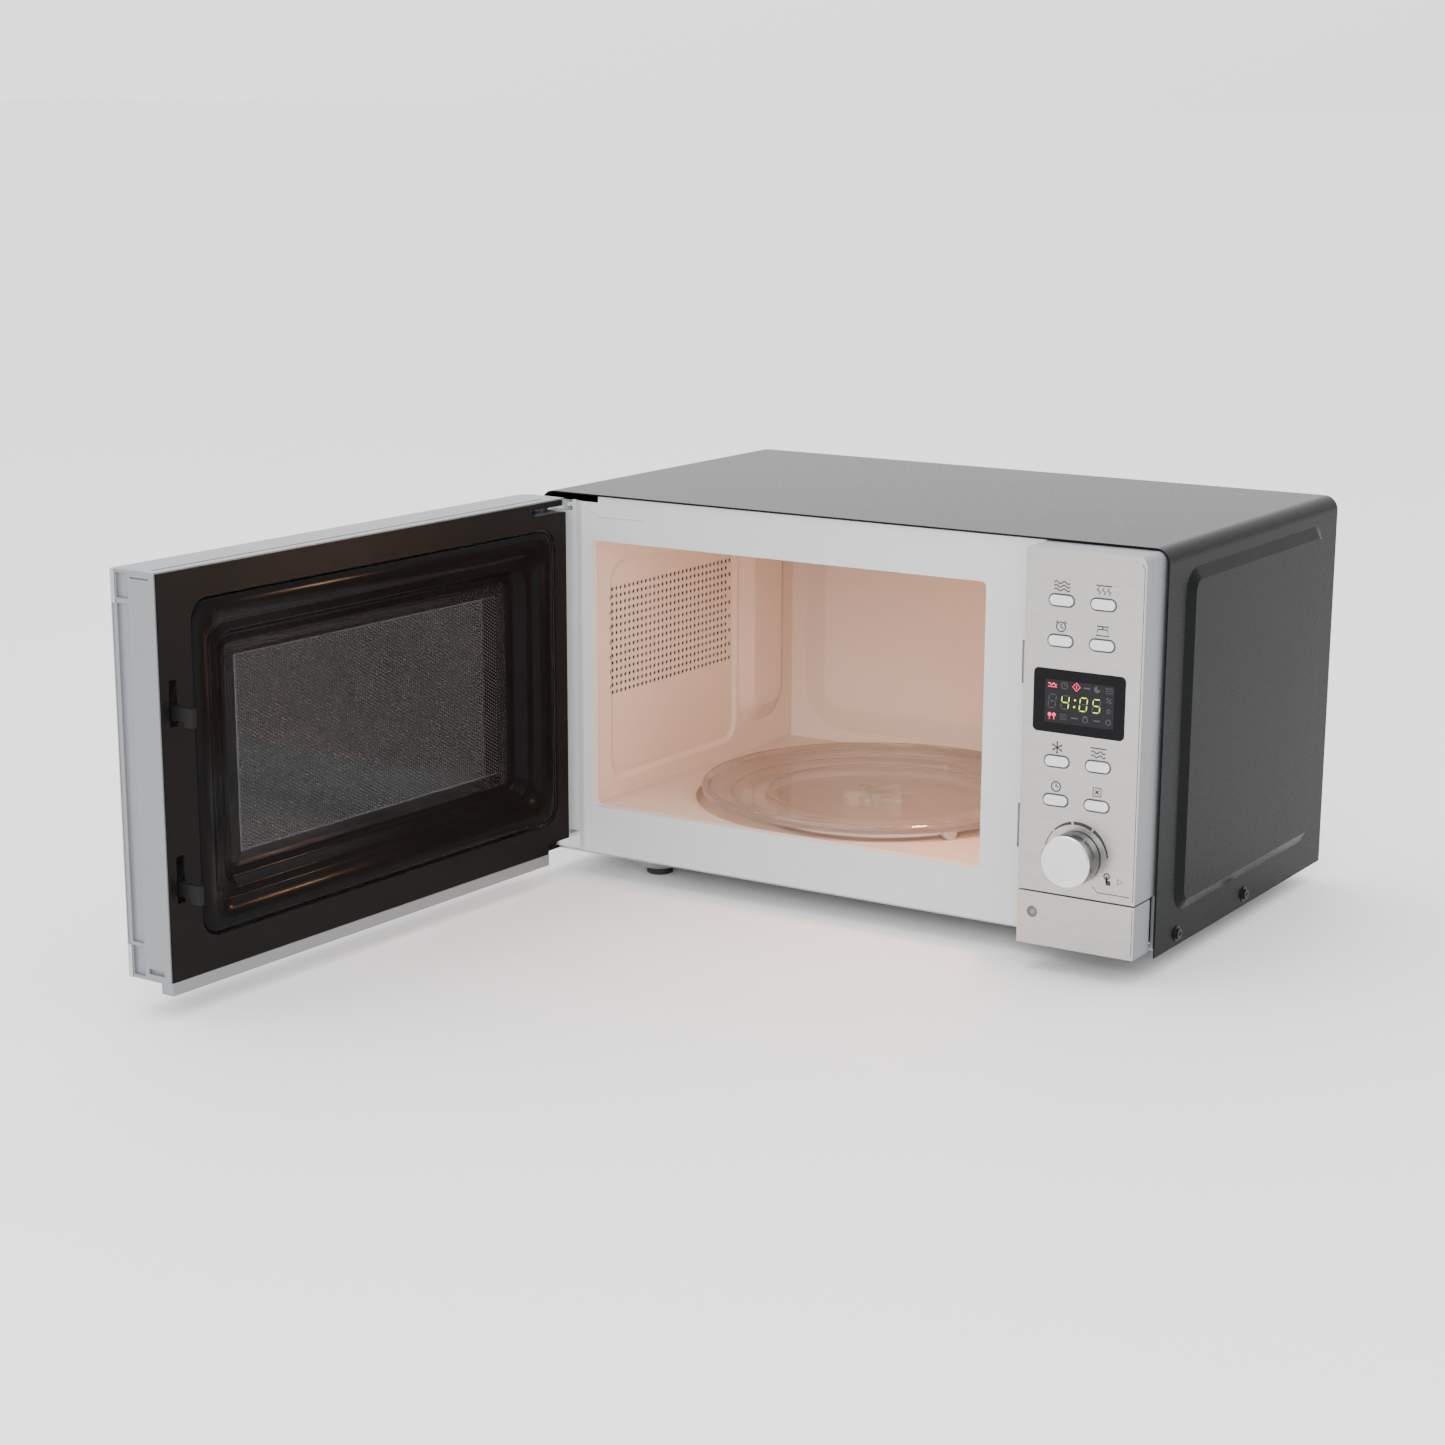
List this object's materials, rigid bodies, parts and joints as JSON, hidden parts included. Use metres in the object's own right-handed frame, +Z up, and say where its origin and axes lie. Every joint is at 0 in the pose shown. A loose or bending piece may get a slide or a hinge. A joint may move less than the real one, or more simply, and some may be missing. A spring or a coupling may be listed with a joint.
{
  "type": "microwave oven",
  "caption": "Countertop microwave oven with grill, left-hinged door standing open, glass turntable, stainless control panel with display, keys, knob and door release.",
  "frame": {"origin": "on the floor under the centre of the case", "axes": "+X to the right seen from the front, +Y to the back, +Z up; the door is hinged on the -X side"},
  "size_m": [0.4631, 0.6323, 0.254],
  "materials": {
    "case_black": "satin",
    "plate_paint": "satin",
    "enamel": "gloss",
    "zinc_sheet": "satin",
    "stainless": "brushed",
    "hinge_steel": "polished",
    "screw_black": "satin",
    "panel_plastic": "satin",
    "choke_black": "gloss",
    "screen_black": "gloss",
    "clear_glass": "polished",
    "dark_glass": "polished",
    "clear_film": "clear",
    "latch_black": "satin",
    "silver_plastic": "satin",
    "spun_aluminium": "spun",
    "spring_steel": "polished",
    "white_plastic": "satin",
    "display_black": "gloss",
    "circuit_board": "satin",
    "lamination_steel": "satin",
    "aluminium_can": "satin",
    "mica": "satin",
    "heater_sheath": "satin",
    "foot_rubber": "matte"
  },
  "bodies": {
    "root": {"case_cover": "case_black", "base_plate": "zinc_sheet", "feet": "foot_rubber", "rear_panel": "zinc_sheet", "cord_gland": "latch_black", "case_screws": "screw_black", "front_plate": "plate_paint", "cavity": "enamel", "grill_heater": "heater_sheath", "heater_clips": "zinc_sheet", "waveguide": "zinc_sheet", "mica_cover": "mica", "magnetron": "aluminium_can", "fan_shroud": "zinc_sheet", "fan_motor": "lamination_steel", "transformer": "lamination_steel", "capacitor": "aluminium_can", "filter_board": "circuit_board", "oven_lamp": "zinc_sheet", "turntable_motor": "zinc_sheet", "upper_hinge": "hinge_steel", "lower_hinge": "hinge_steel", "panel_housing": "panel_plastic", "panel_skin": "stainless", "display_window": "display_black", "display_module": "white_plastic", "control_board": "circuit_board", "encoder_body": "spring_steel", "latch_board": "white_plastic", "door_switches": "latch_black"},
    "door": {"door_frame": "panel_plastic", "door_skin": "stainless", "door_glass": "dark_glass", "door_screen": "screen_black", "door_film": "clear_film", "choke_cover": "choke_black", "latch_spring": "spring_steel"},
    "latch": {"latch_plate": "latch_black"},
    "release": {"release_button": "panel_plastic", "release_skin": "stainless"},
    "lever": {"release_lever": "white_plastic"},
    "key_power": {"key_power": "silver_plastic"},
    "key_grill": {"key_grill": "silver_plastic"},
    "key_preset": {"key_preset": "silver_plastic"},
    "key_weight": {"key_weight": "silver_plastic"},
    "key_defrost": {"key_defrost": "silver_plastic"},
    "key_combi": {"key_combi": "silver_plastic"},
    "key_clock": {"key_clock": "silver_plastic"},
    "key_stop": {"key_stop": "silver_plastic"},
    "encoder": {"encoder_shaft": "spring_steel"},
    "knob": {"knob": "spun_aluminium"},
    "turntable": {"turntable_coupler": "white_plastic", "glass_tray": "clear_glass"},
    "ring": {"roller_ring": "white_plastic"},
    "roller_1": {"roller_1": "white_plastic"},
    "roller_2": {"roller_2": "white_plastic"},
    "roller_3": {"roller_3": "white_plastic"},
    "fan": {"fan_blade": "white_plastic"}
  },
  "joints": [
    {"name": "door_swing", "type": "hinge", "parent": "root", "child": "door", "pos_m": [-0.2116, -0.1483, 0.13], "axis": [0, 0, 1], "range_deg": [-12, 92]},
    {"name": "latch_lift", "type": "slide", "parent": "door", "child": "latch", "axis": [0, 0, 1], "range_m": [0, 0.005], "stiffness_N_per_m": 150},
    {"name": "release_press", "type": "slide", "parent": "root", "child": "release", "axis": [0, 1, 0], "range_m": [0, 0.005], "stiffness_N_per_m": 600},
    {"name": "lever_turn", "type": "hinge", "parent": "root", "child": "lever", "pos_m": [0.143, -0.122, 0.052], "axis": [1, 0, 0], "range_deg": [0, 18]},
    {"name": "key_power_press", "type": "slide", "parent": "root", "child": "key_power", "axis": [0, 1, 0], "range_m": [0, 0.001], "stiffness_N_per_m": 300},
    {"name": "key_grill_press", "type": "slide", "parent": "root", "child": "key_grill", "axis": [0, 1, 0], "range_m": [0, 0.001], "stiffness_N_per_m": 300},
    {"name": "key_preset_press", "type": "slide", "parent": "root", "child": "key_preset", "axis": [0, 1, 0], "range_m": [0, 0.001], "stiffness_N_per_m": 300},
    {"name": "key_weight_press", "type": "slide", "parent": "root", "child": "key_weight", "axis": [0, 1, 0], "range_m": [0, 0.001], "stiffness_N_per_m": 300},
    {"name": "key_defrost_press", "type": "slide", "parent": "root", "child": "key_defrost", "axis": [0, 1, 0], "range_m": [0, 0.001], "stiffness_N_per_m": 300},
    {"name": "key_combi_press", "type": "slide", "parent": "root", "child": "key_combi", "axis": [0, 1, 0], "range_m": [0, 0.001], "stiffness_N_per_m": 300},
    {"name": "key_clock_press", "type": "slide", "parent": "root", "child": "key_clock", "axis": [0, 1, 0], "range_m": [0, 0.001], "stiffness_N_per_m": 300},
    {"name": "key_stop_press", "type": "slide", "parent": "root", "child": "key_stop", "axis": [0, 1, 0], "range_m": [0, 0.001], "stiffness_N_per_m": 300},
    {"name": "encoder_turn", "type": "hinge", "parent": "root", "child": "encoder", "pos_m": [0.1795, -0.151, 0.0734], "axis": [0, 1, 0], "continuous": true},
    {"name": "knob_press", "type": "slide", "parent": "encoder", "child": "knob", "axis": [0, 1, 0], "range_m": [0, 0.0006], "stiffness_N_per_m": 800},
    {"name": "turntable_spin", "type": "hinge", "parent": "root", "child": "turntable", "pos_m": [-0.04, 0, 0.045], "axis": [0, 0, 1], "continuous": true},
    {"name": "ring_roll", "type": "hinge", "parent": "root", "child": "ring", "pos_m": [-0.04, 0, 0.043], "axis": [0, 0, 1], "continuous": true},
    {"name": "roller_1_spin", "type": "hinge", "parent": "ring", "child": "roller_1", "pos_m": [-0.04, 0.088, 0.043], "axis": [0, 1, 0], "continuous": true},
    {"name": "roller_2_spin", "type": "hinge", "parent": "ring", "child": "roller_2", "pos_m": [-0.11621, -0.044, 0.043], "axis": [-0.866, -0.5, 0], "continuous": true},
    {"name": "roller_3_spin", "type": "hinge", "parent": "ring", "child": "roller_3", "pos_m": [0.03621, -0.044, 0.043], "axis": [0.866, -0.5, 0], "continuous": true},
    {"name": "fan_spin", "type": "hinge", "parent": "root", "child": "fan", "pos_m": [0.166, 0.113, 0.172], "axis": [0, 1, 0], "continuous": true}
  ],
  "couplings": [
    {"joint": "lever_turn", "follows": "release_press", "rad_per_m": 62},
    {"joint": "ring_roll", "follows": "turntable_spin", "ratio": 0.5},
    {"joint": "roller_1_spin", "follows": "turntable_spin", "ratio": -9.3617},
    {"joint": "roller_2_spin", "follows": "turntable_spin", "ratio": -9.3617},
    {"joint": "roller_3_spin", "follows": "turntable_spin", "ratio": -9.3617}
  ]
}
